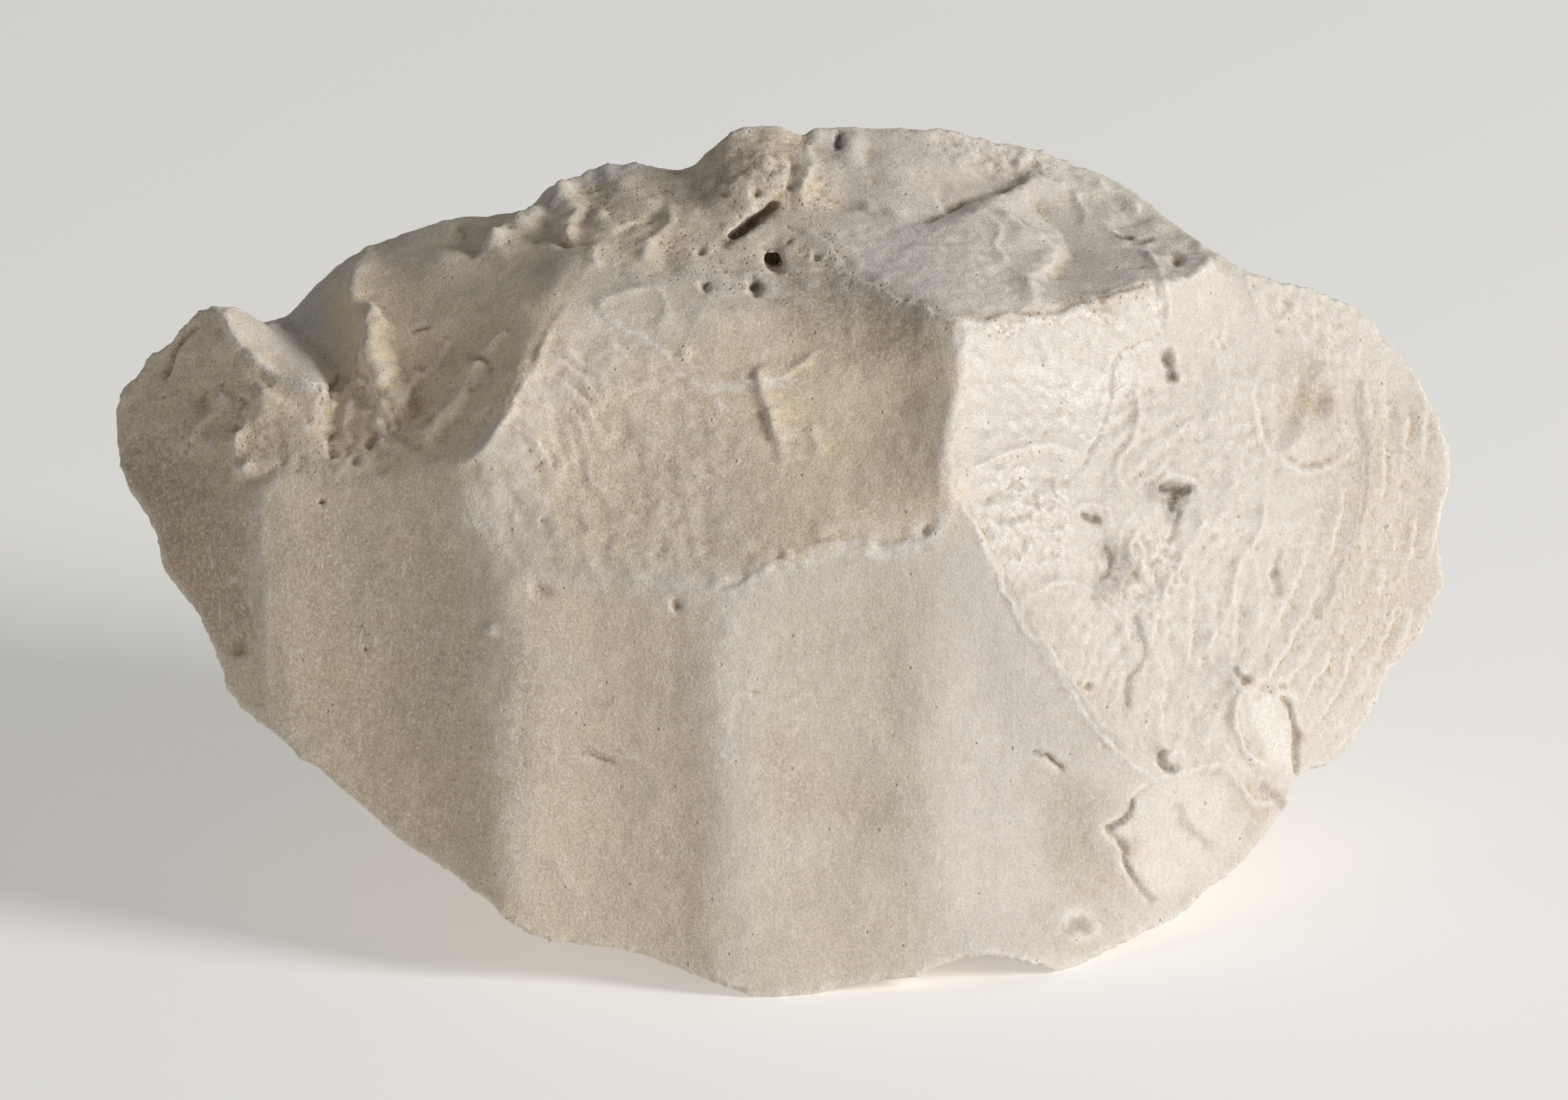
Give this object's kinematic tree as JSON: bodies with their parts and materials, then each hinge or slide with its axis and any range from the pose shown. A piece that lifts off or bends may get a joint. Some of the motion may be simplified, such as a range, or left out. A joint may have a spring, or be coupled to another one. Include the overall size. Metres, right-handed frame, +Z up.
{
  "type": "chalk rock",
  "caption": "Broken lump of natural chalk with flaked faces along its front, a knob at one end and a small flat spot to rest on.",
  "frame": {"origin": "the middle of the underside of the stone's box, on the surface it rests on", "axes": "+X along the stone's length, from the knob's end to the other end; -Y towards the flaked front; +Z up"},
  "size_m": [0.16, 0.0946, 0.0871],
  "materials": {
    "chalk": "matt, weathered beige with paler fresh breaks"
  },
  "bodies": {
    "root": {"chalk_rock": "chalk"}
  },
  "joints": []
}
